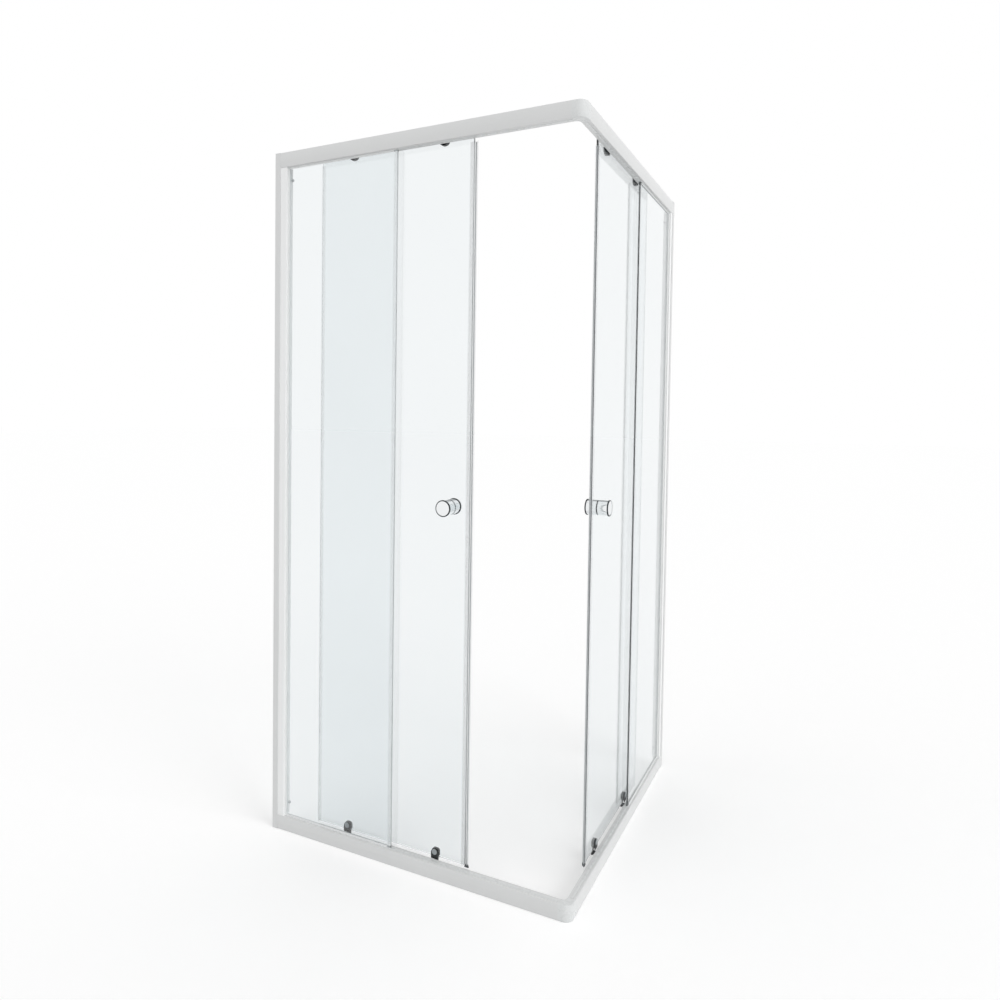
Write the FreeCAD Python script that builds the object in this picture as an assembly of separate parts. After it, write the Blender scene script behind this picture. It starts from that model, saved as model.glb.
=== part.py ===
import FreeCAD, Part
import math
import os

# Corner shower enclosure with two sliding doors. All sizes are in millimetres.
# One side is drawn along the wall-to-corner line: "along" starts at the wall, "depth" goes
# inward from the outer face and "height" goes up. The other side is its mirror image.

# the whole enclosure
side_length = 880.0
overall_height = 1850.0
glass_thickness = 5.0
left_lead_to_corner = 276.0
right_lead_to_corner = 158.0

# clearances
seat_gap = 0.2
running_gap = 0.3
bore_gap = 0.05
end_gap = 0.3

# rail extrusion
rail_height = 40.0
rail_wall = 1.5
front_bow = 3.0
front_bow_height = 22.0
crown_radius = 5.0
slot_start = 8.8
gasket_wall = 1.0
slot_depth = 15.0
lip_depth = 22.5
rib_drop = 6.0
tray_depth = 34.0
tray_lip_height = 7.0
lip_round = 0.8
edge_round = 0.4

# moulded corner connectors
connector_leg = 34.0
outer_corner_radius = 24.0
inner_corner_radius = 11.0
moulded_wall = 2.5
spigot_length = 24.0
spigot_round = 0.6

# wall channel and side profile
channel_front = 1.0
channel_back = 32.0
channel_reach = 17.0
channel_round = 0.5
wall_hole_radius = 2.75
wall_hole_margin = 200.0
profile_start = 8.0
profile_end = 38.0
profile_round = 1.5
block_upright_height = 20.0

# fixed glass, its gasket and edge seal
glass_bed = 2.0
gasket_rim = 1.0
fixed_glass_share = 0.4375
seal_wall = 1.0
seal_grip = 10.0
edge_seal_web = 2.0
fin_reach = 10.0
fin_thickness = 0.9
filler_height = 4.0
filler_crown = 0.6
filler_wall = 1.0

# sliding doors
door_face = 27.0
door_rear_gap = 4.5
door_rise = 5.0
door_headroom = 10.0
door_corner_radius = 3.0
lead_seal_wall = 1.2
lead_seal_reach = 13.0
lead_seal_below = 4.0
seal_headroom = 5.0
closing_gap = 0.35
rear_seal_web = 1.2
rear_seal_grip = 8.0
rear_seal_skin = 0.6

# knobs
knob_height = 925.0
knob_from_lead = 71.0
knob_body_radius = 19.0
knob_rim_radius = 20.5
knob_rim_length = 3.0
knob_rim_round = 1.2
knob_dish_radius = 17.5
knob_dish_depth = 1.0
knob_foot_radius = 17.0
knob_foot_chamfer = 1.0
knob_outer_length = 29.0
knob_inner_length = 27.0
knob_hole_radius = 5.0
stud_radius = 3.0
stud_reach = 16.0

# rollers
roller_inset = 98.0
wheel_groove_radius = 7.5
wheel_flange_radius = 9.3
wheel_flange_width = 0.9
wheel_groove_slope = 0.75
wheel_width = 6.0
wheel_round = 0.3
axle_radius = 2.0
axle_head_radius = 3.2
axle_head_length = 0.65
axle_side_gap = 0.2
collar_gap = 0.25

# top rollers: the axle is off centre, so turning it sets the height of the door
eccentric_offset = 1.2
collar_radius = 7.0
shank_radius = 4.9
top_hole_radius = 5.0
thread_radius = 4.0
thread_length = 7.5
nut_radius = 14.0
nut_length = 10.0
nut_round = 2.5
nut_slot_width = 2.0
nut_slot_length = 16.0
nut_slot_depth = 1.2

# bottom rollers: each wheel hangs on a sprung slide that is pressed down to release it. A rise
# is counted up from the lower edge of the door glass, and a drop down from it.
housing_width = 20.0
housing_drop = 1.0
housing_rise = 17.5
housing_round = 7.0
housing_depth = 8.0
housing_skin = 1.5
housing_chamfer = 1.2
root_depth = 1.0
boss_rise = 10.5
boss_radius = 4.4
boss_hole_radius = 4.5
cap_radius = 7.0
cap_thickness = 1.0
cap_stem_radius = 2.4
cap_stem_length = 5.5
cap_round = 0.4
plate_width = 20.0
plate_drop = 7.0
plate_round = 9.4
plate_thickness = 1.6
slide_width = 10.4
slide_foot_drop = 6.2
slide_rise = 14.0
pocket_rise = 15.5
slide_round = 2.0
slide_window_width = 5.6
slide_window_drop = 1.5
slide_window_rise = 12.0
peg_width = 5.0
peg_rise = 4.4
foot_radius = 5.0
button_width = 7.0
button_low_rise = 3.0
button_high_rise = 10.0
button_reach = 4.0
button_round = 1.5
spring_strip = 0.5
spring_width = 4.4
spring_legs = 4
spring_depth = 3.0
spring_end_gap = 0.1

# screws, caps and bumpers
screw_radius = 1.95
screw_hole_radius = 2.1
screw_head_radius = 3.4
screw_head_height = 2.1
screw_head_round = 1.2
screw_length = 12.0
screw_tip = 1.2
recess_width = 0.9
recess_length = 3.6
recess_depth = 1.1
rail_screw_height = 10.0
rail_screw_inset = 12.0
adjuster_margin = 140.0
adjuster_along = 12.0
cap_wall = 0.9
cap_dome_round = 1.4
bumper_radius = 3.5
bumper_length = 5.0
bumper_round = 1.0
bumper_stem_radius = 2.0
bumper_stem_length = 4.0
bumper_depth = 26.5
bumper_height = 70.0

# sizes that follow from the ones above
slot_end = slot_start + glass_thickness + 2 * gasket_wall
rail_back = slot_end + rail_wall
rib_tip_height = rail_height - rib_drop
slot_floor = rail_height - slot_depth
slot_bottom = slot_floor - rail_wall
bow_radius = (front_bow_height ** 2 + front_bow ** 2) / (2 * front_bow)
rail_start = channel_reach + end_gap
rail_end = side_length - connector_leg
wall_hole_heights = (wall_hole_margin, overall_height / 2, overall_height - wall_hole_margin)
adjuster_heights = (adjuster_margin, overall_height / 2, overall_height - adjuster_margin)
fixed_glass_end = side_length * fixed_glass_share
fin_end = fixed_glass_end + fin_reach
fixed_glass_face = slot_start + gasket_wall
profile_front = channel_front + rail_wall + seat_gap
profile_back = channel_back - rail_wall - seat_gap
profile_slot_start = profile_end - slot_depth
fixed_glass_start = profile_slot_start + glass_bed
door_back = door_face + glass_thickness
door_top = overall_height - door_headroom
door_bottom = rail_height + door_rise
lead_seal_front = door_face - lead_seal_wall
lead_seal_back = door_back + lead_seal_wall
lead_tip = side_length - lead_seal_front - closing_gap
glass_lead = lead_tip - lead_seal_reach
door_rear = fixed_glass_end + door_rear_gap
glass_rear = door_rear + rear_seal_web
knob_along = lead_tip - knob_from_lead
knob_reach = knob_outer_length - door_face
roller_places = (door_rear + roller_inset, lead_tip - roller_inset)
wheel_middle = lip_depth - rail_wall / 2
wheel_face = wheel_middle - wheel_width / 2
wheel_back = wheel_middle + wheel_width / 2
bottom_wheel_height = rib_tip_height - wheel_groove_radius - running_gap
top_wheel_height = overall_height - bottom_wheel_height
housing_low = door_bottom - housing_drop
housing_high = door_bottom + housing_rise
boss_height = door_bottom + boss_rise
plate_low = door_bottom - plate_drop
slide_low = bottom_wheel_height - slide_foot_drop
slide_high = door_bottom + slide_rise
slide_pocket_high = door_bottom + pocket_rise
slide_window_low = door_bottom - slide_window_drop
slide_window_high = door_bottom + slide_window_rise
peg_high = door_bottom + peg_rise
button_low = door_bottom + button_low_rise
button_high = door_bottom + button_high_rise
top_hole_height = top_wheel_height - eccentric_offset
seal_top = overall_height - rail_height - seal_headroom
plan_shift = FreeCAD.Vector(-(side_length + knob_reach) / 2, -(side_length - knob_reach) / 2, 0)
openings = {
    "left": lead_tip - (side_length - left_lead_to_corner),
    "right": lead_tip - (side_length - right_lead_to_corner),
}


def point(along, depth, height):
    return FreeCAD.Vector(along, depth, height)


def across(depth, height):
    """A point of a section that is seen along the rail."""
    return point(0, depth, height)


def plan(along, depth):
    """A point of a section that is seen from above."""
    return point(along, depth, 0)


def front(along, height):
    """A point of an outline that is seen from outside the enclosure."""
    return point(along, 0, height)


def outline(corners, onto):
    """A flat face from corners (a, b) or (a, b, radius), each radius a tangent arc."""
    places = [onto(corner[0], corner[1]) for corner in corners]
    radii = [corner[2] if len(corner) > 2 else 0 for corner in corners]
    arcs = []
    for i, here in enumerate(places):
        to_before = (places[i - 1] - here).normalize()
        to_after = (places[(i + 1) % len(places)] - here).normalize()
        half_angle = to_before.getAngle(to_after) / 2
        run = radii[i] / math.tan(half_angle)
        inward = (to_before + to_after).normalize()
        middle = here + inward * (radii[i] / math.sin(half_angle) - radii[i])
        arcs.append((here + to_before * run, middle, here + to_after * run, radii[i] > 0))
    edges = []
    for i, (first, middle, last, is_round) in enumerate(arcs):
        if is_round:
            edges.append(Part.Arc(first, middle, last).toShape())
        following = arcs[(i + 1) % len(arcs)][0]
        if (following - last).Length > seat_gap / rail_height:
            edges.append(Part.makeLine(last, following))
    return Part.Face(Part.Wire(edges))


def bowed(face, inset):
    """The part of a rail section that lies inside the bowed front, moved in by the inset."""
    ring = Part.makeCircle(bow_radius - inset, across(bow_radius, front_bow_height), point(1, 0, 0))
    return face.common(Part.Face(Part.Wire([ring]))).Faces[0]


def run_along(face, start, end):
    return face.translated(point(start, 0, 0)).extrude(point(end - start, 0, 0))


def run_up(face, low, high):
    return face.translated(point(0, 0, low)).extrude(point(0, 0, high - low))


def run_in(face, near, far):
    return face.translated(point(0, near, 0)).extrude(point(0, far - near, 0))


def block(low, high):
    """A box between two opposite corners."""
    size = high - low
    return Part.makeBox(size.x, size.y, size.z, low)


def rod_in(radius, along, height, near, far):
    """A round bar that runs inward."""
    return Part.makeCylinder(radius, far - near, point(along, near, height), point(0, 1, 0))


def rod_along(radius, depth, height, start, end):
    return Part.makeCylinder(radius, end - start, point(start, depth, height), point(1, 0, 0))


def turned(corners, along, height):
    """A solid turned about an inward axis, from corners (radius, depth, round)."""
    body = outline(corners, plan).revolve(point(0, 0, 0), point(0, 1, 0), 360)
    return body.translated(point(along, 0, height))


def upside_down(shape):
    return shape.mirror(point(0, 0, overall_height / 2), point(0, 0, 1))


def other_side(shape):
    """The mirror image of a left piece, for the right side of the corner."""
    return shape.mirror(point(side_length, 0, 0), point(1, 1, 0))


def rail_section():
    skin = bowed(outline([
        (0, 0),
        (tray_depth, 0),
        (tray_depth, tray_lip_height, edge_round),
        (tray_depth - rail_wall, tray_lip_height, edge_round),
        (tray_depth - rail_wall, rail_wall, edge_round),
        (rail_back, rail_wall, edge_round),
        (rail_back, rail_height - rail_wall, edge_round),
        (lip_depth - rail_wall, rail_height - rail_wall, edge_round),
        (lip_depth - rail_wall, rib_tip_height, edge_round),
        (lip_depth, rib_tip_height, edge_round),
        (lip_depth, rail_height, lip_round),
        (slot_end, rail_height, edge_round),
        (slot_end, slot_floor),
        (slot_start, slot_floor),
        (slot_start, rail_height, edge_round),
        (0, rail_height, crown_radius),
    ], across), 0)
    chamber = bowed(outline([
        (0, rail_wall),
        (slot_end, rail_wall, edge_round),
        (slot_end, slot_bottom, edge_round),
        (slot_start - rail_wall, slot_bottom, edge_round),
        (slot_start - rail_wall, rail_height - rail_wall, edge_round),
        (rail_wall, rail_height - rail_wall, crown_radius - rail_wall),
        (rail_wall, slot_bottom),
        (0, slot_bottom),
    ], across), rail_wall)
    return skin.cut(chamber).Faces[0]


def spigot_section():
    """The tongue that a moulded piece pushes into the lower chamber of a rail."""
    return bowed(outline([
        (0, rail_wall + seat_gap),
        (slot_end - seat_gap, rail_wall + seat_gap, spigot_round),
        (slot_end - seat_gap, slot_bottom - seat_gap, spigot_round),
        (0, slot_bottom - seat_gap),
    ], across), rail_wall + seat_gap)


def rail_screw_places():
    return (rail_start + rail_screw_inset, rail_end - rail_screw_inset)


def bottom_rail():
    rail = run_along(rail_section(), rail_start, rail_end)
    for along in rail_screw_places():
        rail = rail.cut(rod_in(screw_hole_radius, along, rail_screw_height, slot_start, lip_depth))
    return rail


def bottom_connector():
    """A moulded corner with two legs in the rail section, a round outer corner, a filleted
    inner corner and a tongue into each rail."""
    leg_face = bowed(outline([
        (0, 0),
        (lip_depth, 0),
        (lip_depth, rail_height, lip_round),
        (0, rail_height, crown_radius),
    ], across), 0)
    hollow_face = bowed(outline([
        (0, -moulded_wall),
        (lip_depth - moulded_wall, -moulded_wall),
        (lip_depth - moulded_wall, rail_height - moulded_wall, lip_round),
        (moulded_wall, rail_height - moulded_wall, crown_radius - moulded_wall),
        (moulded_wall, rail_wall),
        (0, rail_wall),
    ], across), moulded_wall)
    bend_start = side_length - outer_corner_radius
    axis = point(bend_start, outer_corner_radius, 0)

    def swept(face, start):
        leg = run_along(face, start, bend_start)
        bend = face.translated(point(bend_start, 0, 0)).revolve(axis, point(0, 0, 1), 90)
        return leg.fuse([bend, other_side(leg)])

    inner = lip_depth - moulded_wall
    fillet_centre = lip_depth + inner_corner_radius
    web = block(
        point(side_length - fillet_centre, inner, 0),
        point(side_length - inner, fillet_centre, rail_height),
    )
    web = web.cut(Part.makeCylinder(
        inner_corner_radius,
        rail_height,
        point(side_length - fillet_centre, fillet_centre, 0),
    ))
    plinth = block(
        point(side_length - tray_depth, inner, 0),
        point(side_length - inner, tray_depth, tray_lip_height),
    )
    body = swept(leg_face, rail_end).fuse([web, plinth])
    body = body.cut(swept(hollow_face, rail_end + moulded_wall))
    tongue = run_along(spigot_section(), rail_end - spigot_length, rail_end + moulded_wall)
    tongue = tongue.cut(rod_in(
        screw_radius + bore_gap, rail_screw_places()[1], rail_screw_height, 0, lip_depth))
    return body.fuse([tongue, other_side(tongue)]).removeSplitter()


def bottom_end_block():
    """The moulded block at the wall end of a rail: one tongue into the rail, one up into
    the side profile."""
    body = run_up(outline([
        (rail_wall + seat_gap, profile_front, edge_round),
        (rail_start, profile_front),
        (rail_start, profile_back),
        (rail_wall + seat_gap, profile_back, edge_round),
    ], plan), 0, rail_height)
    tongue = run_along(spigot_section(), rail_start, rail_start + spigot_length)
    tongue = tongue.cut(rod_in(
        screw_radius + bore_gap, rail_screw_places()[0], rail_screw_height, 0, lip_depth))
    inset = rail_wall + seat_gap
    upright = run_up(outline([
        (profile_start + inset, profile_front + inset, spigot_round),
        (rail_start, profile_front + inset, spigot_round),
        (rail_start, profile_back - inset, spigot_round),
        (profile_start + inset, profile_back - inset, spigot_round),
    ], plan), rail_height - moulded_wall, rail_height + block_upright_height)
    return body.fuse([tongue, upright]).removeSplitter()


def wall_channel():
    channel = run_up(outline([
        (0, channel_front),
        (channel_reach, channel_front, channel_round),
        (channel_reach, channel_front + rail_wall, channel_round),
        (rail_wall, channel_front + rail_wall, edge_round),
        (rail_wall, channel_back - rail_wall, edge_round),
        (channel_reach, channel_back - rail_wall, channel_round),
        (channel_reach, channel_back, channel_round),
        (0, channel_back),
    ], plan), 0, overall_height)
    middle = (channel_front + channel_back) / 2
    for height in wall_hole_heights:
        channel = channel.cut(rod_along(wall_hole_radius, middle, height, -rail_wall, 2 * rail_wall))
    for height in adjuster_heights:
        channel = channel.cut(rod_in(screw_hole_radius, adjuster_along, height, slot_end, tray_depth))
    return channel


def bumper_places():
    return (bumper_height, overall_height - bumper_height)


def side_profile():
    """The upright that takes the wall edge of the fixed glass and slides in the channel."""
    skin = outline([
        (profile_start, profile_front, edge_round),
        (profile_end, profile_front, profile_round),
        (profile_end, slot_start, edge_round),
        (profile_slot_start, slot_start),
        (profile_slot_start, slot_end),
        (profile_end, slot_end, edge_round),
        (profile_end, profile_back, profile_round),
        (profile_start, profile_back, edge_round),
    ], plan)
    chamber = outline([
        (profile_start + rail_wall, profile_front + rail_wall, edge_round),
        (profile_end - rail_wall, profile_front + rail_wall, edge_round),
        (profile_end - rail_wall, slot_start - rail_wall, edge_round),
        (profile_slot_start - rail_wall, slot_start - rail_wall, edge_round),
        (profile_slot_start - rail_wall, rail_back, edge_round),
        (profile_end - rail_wall, rail_back, edge_round),
        (profile_end - rail_wall, profile_back - rail_wall, edge_round),
        (profile_start + rail_wall, profile_back - rail_wall, edge_round),
    ], plan)
    profile = run_up(skin.cut(chamber).Faces[0], rail_height, overall_height - rail_height)
    for height in adjuster_heights:
        profile = profile.cut(rod_in(screw_hole_radius, adjuster_along, height, rail_back, tray_depth))
    for height in bumper_places():
        hole = rod_along(bumper_stem_radius + bore_gap, bumper_depth, height, glass_bed * slot_start,
                         profile_end + rail_wall)
        profile = profile.cut(hole.common(block(
            point(profile_end - 2 * rail_wall, rail_back, 0),
            point(profile_end + rail_wall, profile_back, overall_height),
        )))
    return profile


def fixed_glass():
    low = slot_floor + glass_bed
    return block(
        point(fixed_glass_start, fixed_glass_face, low),
        point(fixed_glass_end, fixed_glass_face + glass_thickness, overall_height - low),
    )


def glass_gasket():
    """A rubber channel round three edges of the fixed glass."""
    frame = block(
        point(profile_slot_start, slot_start, slot_floor),
        point(fixed_glass_end, slot_end, overall_height - slot_floor),
    )
    window = block(
        point(profile_end + gasket_rim, 0, rail_height + gasket_rim),
        point(side_length, tray_depth, overall_height - rail_height - gasket_rim),
    )
    return frame.cut(window).cut(fixed_glass())


def edge_seal():
    """A clear clip on the free edge of the fixed glass, with a fin towards the door."""
    front_side = fixed_glass_face - seal_wall
    back_side = fixed_glass_face + glass_thickness + seal_wall
    grip_start = fixed_glass_end - seal_grip
    clip = outline([
        (grip_start, front_side, edge_round),
        (fixed_glass_end + edge_seal_web, front_side, lip_round),
        (fixed_glass_end + edge_seal_web, back_side),
        (grip_start, back_side, edge_round),
        (grip_start, back_side - seal_wall),
        (fixed_glass_end, back_side - seal_wall),
        (fixed_glass_end, fixed_glass_face),
        (grip_start, fixed_glass_face),
    ], plan)
    fin_depth = door_face - rear_seal_skin - running_gap
    fin = outline([
        (fixed_glass_end, back_side - seal_wall / 2),
        (fixed_glass_end + edge_seal_web, back_side - seal_wall / 2),
        (fin_end, fin_depth),
        (fin_end - fin_thickness, fin_depth),
    ], plan)
    low = rail_height + gasket_rim + seat_gap
    return run_up(clip, low, overall_height - low).fuse(
        run_up(fin, low, overall_height - low)).removeSplitter()


def slot_filler():
    """The strip that closes the empty glass slot of the rail across the doorway."""
    near = slot_start + seat_gap
    far = slot_end - seat_gap
    top = rail_height + filler_crown
    low = rail_height - filler_height
    section = outline([
        (near, low),
        (near, top, filler_crown),
        (far, top, filler_crown),
        (far, low),
        (far - filler_wall, low),
        (far - filler_wall, top - filler_wall, edge_round),
        (near + filler_wall, top - filler_wall, edge_round),
        (near + filler_wall, low),
    ], across)
    return run_along(section, fixed_glass_end + seat_gap, rail_end)


def bumper(height):
    head = rod_along(bumper_radius, bumper_depth, height, profile_end, profile_end + bumper_length)
    rim = [edge for edge in head.Edges if abs(edge.CenterOfMass.x - profile_end - bumper_length) < bore_gap]
    head = head.makeFillet(bumper_round, rim)
    stem = rod_along(bumper_stem_radius, bumper_depth, height, profile_end - bumper_stem_length, profile_end)
    return head.fuse(stem).removeSplitter()


def screw(along, height, seat):
    """A pan head screw driven outward, with a cross recess."""
    body = turned([
        (0, seat - screw_length),
        (screw_radius - screw_tip, seat - screw_length),
        (screw_radius, seat - screw_length + screw_tip),
        (screw_radius, seat),
        (screw_head_radius, seat),
        (screw_head_radius, seat + screw_head_height, screw_head_round),
        (0, seat + screw_head_height),
    ], along, height)
    top = seat + screw_head_height
    for wide, tall in ((recess_length, recess_width), (recess_width, recess_length)):
        body = body.cut(block(
            point(along - wide / 2, top - recess_depth, height - tall / 2),
            point(along + wide / 2, top + recess_depth, height + tall / 2),
        ))
    return body


def screw_cap(height):
    seat = channel_back
    inner_radius = screw_head_radius + bore_gap
    inner_top = seat + screw_head_height + bore_gap
    return turned([
        (inner_radius, seat),
        (inner_radius + cap_wall, seat),
        (inner_radius + cap_wall, inner_top + cap_wall, cap_dome_round),
        (0, inner_top + cap_wall),
        (0, inner_top),
        (inner_radius, inner_top),
    ], adjuster_along, height)


def door_glass():
    pane = run_in(outline([
        (glass_rear, door_bottom, door_corner_radius),
        (glass_lead, door_bottom, door_corner_radius),
        (glass_lead, door_top, door_corner_radius),
        (glass_rear, door_top, door_corner_radius),
    ], front), door_face, door_back)
    holes = [rod_in(knob_hole_radius, knob_along, knob_height, slot_end, tray_depth)]
    for along in roller_places:
        holes.append(rod_in(top_hole_radius, along, top_hole_height, slot_end, tray_depth))
        holes.append(rod_in(boss_hole_radius, along, boss_height, slot_end, tray_depth))
    return pane.cut(holes)


def lead_seal():
    """The magnetic seal on the leading edge, with a face at half a right angle so that the
    two doors meet in the corner."""
    grip_end = glass_lead - seal_grip
    span = lead_seal_back - lead_seal_front
    skew = lead_seal_wall * math.sqrt(2)
    skin = outline([
        (grip_end, lead_seal_front, edge_round),
        (lead_tip, lead_seal_front, edge_round),
        (lead_tip - span, lead_seal_back, edge_round),
        (grip_end, lead_seal_back, edge_round),
        (grip_end, door_back),
        (glass_lead, door_back),
        (glass_lead, door_face),
        (grip_end, door_face),
    ], plan)
    chamber = outline([
        (glass_lead + lead_seal_wall, door_face, edge_round),
        (lead_tip - lead_seal_wall - skew, door_face, edge_round),
        (lead_tip - span + lead_seal_wall - skew, door_back, edge_round),
        (glass_lead + lead_seal_wall, door_back, edge_round),
    ], plan)
    return run_up(skin.cut(chamber).Faces[0], door_bottom - lead_seal_below, seal_top)


def rear_seal():
    grip_end = glass_rear + rear_seal_grip
    section = outline([
        (door_rear, door_face - rear_seal_skin),
        (grip_end, door_face - rear_seal_skin),
        (grip_end, door_face),
        (glass_rear, door_face),
        (glass_rear, door_back),
        (grip_end, door_back),
        (grip_end, door_back + seal_wall, edge_round),
        (door_rear, door_back + seal_wall, lip_round),
    ], plan)
    return run_up(section, door_bottom - lead_seal_below, seal_top)


def knob(seat, length, outward):
    """A drum knob: foot on the glass, straight body, raised rim and dished end."""
    end = seat + outward * length
    rim = end - outward * knob_rim_length
    floor = end - outward * knob_dish_depth
    bore_end = seat + outward * (stud_reach + running_gap)
    return turned([
        (stud_radius + bore_gap, seat),
        (knob_foot_radius, seat),
        (knob_body_radius, seat + outward * knob_foot_chamfer),
        (knob_body_radius, rim),
        (knob_rim_radius, rim),
        (knob_rim_radius, end, knob_rim_round),
        (knob_dish_radius, end, edge_round),
        (knob_dish_radius, floor),
        (0, floor),
        (0, bore_end),
        (stud_radius + bore_gap, bore_end),
    ], knob_along, knob_height)


def knob_stud():
    return rod_in(stud_radius, knob_along, knob_height, door_face - stud_reach, door_back + stud_reach)


def wheel(along, height):
    """A grooved wheel that runs on the rib of the rail."""
    near = wheel_face + wheel_flange_width
    far = wheel_back - wheel_flange_width
    bore = axle_radius + bore_gap
    return turned([
        (bore, wheel_face),
        (wheel_flange_radius, wheel_face, wheel_round),
        (wheel_flange_radius, near, wheel_round),
        (wheel_groove_radius, near + wheel_groove_slope),
        (wheel_groove_radius, far - wheel_groove_slope),
        (wheel_flange_radius, far, wheel_round),
        (wheel_flange_radius, wheel_back, wheel_round),
        (bore, wheel_back),
    ], along, height)


def axle_pin(along, height, collar):
    """The thin end of an axle, with the head that keeps the wheel on."""
    head_back = wheel_face - axle_side_gap
    pin = rod_in(axle_radius, along, height, head_back - axle_head_length, collar)
    head = rod_in(axle_head_radius, along, height, head_back - axle_head_length, head_back)
    return pin.fuse(head)


def top_axle(along):
    """An eccentric axle through the glass: wheel pin, collar, shank and thread."""
    collar_face = wheel_back + collar_gap
    pieces = [
        rod_in(collar_radius, along, top_hole_height, collar_face, door_face),
        rod_in(shank_radius, along, top_hole_height, door_face, door_back),
        rod_in(thread_radius, along, top_hole_height, door_back, door_back + thread_length),
    ]
    return axle_pin(along, top_wheel_height, collar_face).fuse(pieces).removeSplitter()


def top_nut(along):
    """The round cap nut inside the glass, with a coin slot for adjusting."""
    end = door_back + nut_length
    inner = door_back + thread_length + bore_gap
    nut = turned([
        (thread_radius + bore_gap, door_back),
        (nut_radius, door_back),
        (nut_radius, end, nut_round),
        (0, end),
        (0, inner),
        (thread_radius + bore_gap, inner),
    ], along, top_hole_height)
    return nut.cut(block(
        point(along - nut_slot_length / 2, end - nut_slot_depth, top_hole_height - nut_slot_width / 2),
        point(along + nut_slot_length / 2, end + nut_slot_depth, top_hole_height + nut_slot_width / 2),
    ))


def upright_plate(along, width, low, high, top_round, near, far):
    """A plate with a round top and slightly rounded foot, seen from outside."""
    return run_in(outline([
        (along - width / 2, low, slide_round),
        (along + width / 2, low, slide_round),
        (along + width / 2, high, top_round),
        (along - width / 2, high, top_round),
    ], front), near, far)


def roller_housing(along):
    """The housing inside the glass, with the pocket in which the slide moves."""
    end = door_back + housing_depth
    body = upright_plate(along, housing_width, housing_low, housing_high, housing_round, door_back, end)
    rim = [edge for edge in body.Edges
           if abs(edge.BoundBox.YMin - end) < bore_gap and abs(edge.BoundBox.YMax - end) < bore_gap]
    body = body.makeChamfer(housing_chamfer, rim)
    half = slide_width / 2 + seat_gap
    pocket_start = door_back + housing_skin
    pocket_end = end - housing_skin
    body = body.cut(block(
        point(along - half, pocket_start, slide_low),
        point(along + half, pocket_end, slide_pocket_high),
    ))
    half = button_width / 2 + seat_gap
    body = body.cut(block(
        point(along - half, pocket_start, slide_low),
        point(along + half, end + root_depth, button_high + seat_gap),
    ))
    peg = block(
        point(along - peg_width / 2, pocket_start - root_depth, housing_low),
        point(along + peg_width / 2, pocket_end - root_depth - 2 * seat_gap, peg_high),
    )
    boss = rod_in(boss_radius, along, boss_height, door_face, door_back + root_depth)
    body = body.fuse([peg, boss])
    body = body.cut(rod_in(
        cap_stem_radius + bore_gap, along, boss_height, slot_end, door_back))
    return body.removeSplitter()


def roller_plate(along):
    """The plate that clamps the housing from outside the glass."""
    near = door_face - plate_thickness
    plate = upright_plate(along, plate_width, plate_low, housing_high, plate_round, near, door_face)
    return plate.cut(rod_in(cap_stem_radius + bore_gap, along, boss_height, slot_end, tray_depth))


def roller_cap(along):
    """The round push rivet that joins the plate to the housing."""
    seat = door_face - plate_thickness
    return turned([
        (0, seat - cap_thickness),
        (cap_radius, seat - cap_thickness, cap_round),
        (cap_radius, seat),
        (cap_stem_radius, seat),
        (cap_stem_radius, seat + cap_stem_length),
        (0, seat + cap_stem_length),
    ], along, boss_height)


def roller_slide(along):
    """The sprung slide: window for the spring, release button, foot under the glass and
    the axle of the bottom wheel."""
    near = door_back + housing_skin + seat_gap
    far = door_back + housing_depth - housing_skin - seat_gap
    bar = upright_plate(along, slide_width, slide_low, slide_high, slide_round, near, far)
    bar = bar.cut(block(
        point(along - slide_window_width / 2, door_face, slide_window_low),
        point(along + slide_window_width / 2, far, slide_window_high),
    ))
    button = upright_plate(
        along, button_width, button_low, button_high, button_round, far, far + button_reach)
    collar_face = wheel_back + collar_gap
    foot = rod_in(foot_radius, along, bottom_wheel_height, collar_face, near + root_depth)
    bridge = block(
        point(along - slide_window_width / 2, far - root_depth, button_low),
        point(along + slide_window_width / 2, far, button_high),
    )
    pin = axle_pin(along, bottom_wheel_height, collar_face)
    return bar.fuse([button, bridge, foot, pin]).removeSplitter()


def roller_spring(along):
    """A folded strip spring between the housing peg and the top of the slide window."""
    low = peg_high + spring_end_gap
    rise = (slide_window_high - spring_end_gap - spring_strip - low) / spring_legs
    half = spring_width / 2
    middle = door_back + housing_depth / 2
    near = middle - spring_depth / 2 - seat_gap
    legs = []
    for leg in range(spring_legs):
        start = along + half * (-1) ** leg
        end = along - half * (-1) ** leg
        height = low + rise * leg
        legs.append(run_in(outline([
            (start, height),
            (end, height + rise),
            (end, height + rise + spring_strip),
            (start, height + spring_strip),
        ], front), near, near + spring_depth - seat_gap))
    return legs[0].fuse(legs[1:]).removeSplitter()


def joined(shapes):
    """Separate solids that share one file."""
    return Part.makeCompound([solid for shape in shapes for solid in shape.Solids])


def frame_pieces():
    """Name, shape pairs of one side that stay with the walls."""
    end_block = bottom_end_block()
    rail = bottom_rail()
    return {
        "bottom_rail": rail,
        "top_rail": upside_down(rail),
        "wall_channel": wall_channel(),
        "side_profile": side_profile(),
        "end_blocks": joined([end_block, upside_down(end_block)]),
        "fixed_glass": fixed_glass(),
        "glass_gasket": glass_gasket(),
        "edge_seal": edge_seal(),
    }


def shared_fasteners():
    """Identical small pieces of one side, joined later with those of the other side."""
    filler = slot_filler()
    screws = [screw(along, rail_screw_height, rail_back) for along in rail_screw_places()]
    return {
        "slot_fillers": [filler, upside_down(filler)],
        "door_bumpers": [bumper(height) for height in bumper_places()],
        "rail_screws": screws + [upside_down(one) for one in screws],
        "adjuster_screws": [screw(adjuster_along, height, channel_back) for height in adjuster_heights],
        "adjuster_caps": [screw_cap(height) for height in adjuster_heights],
    }


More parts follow.
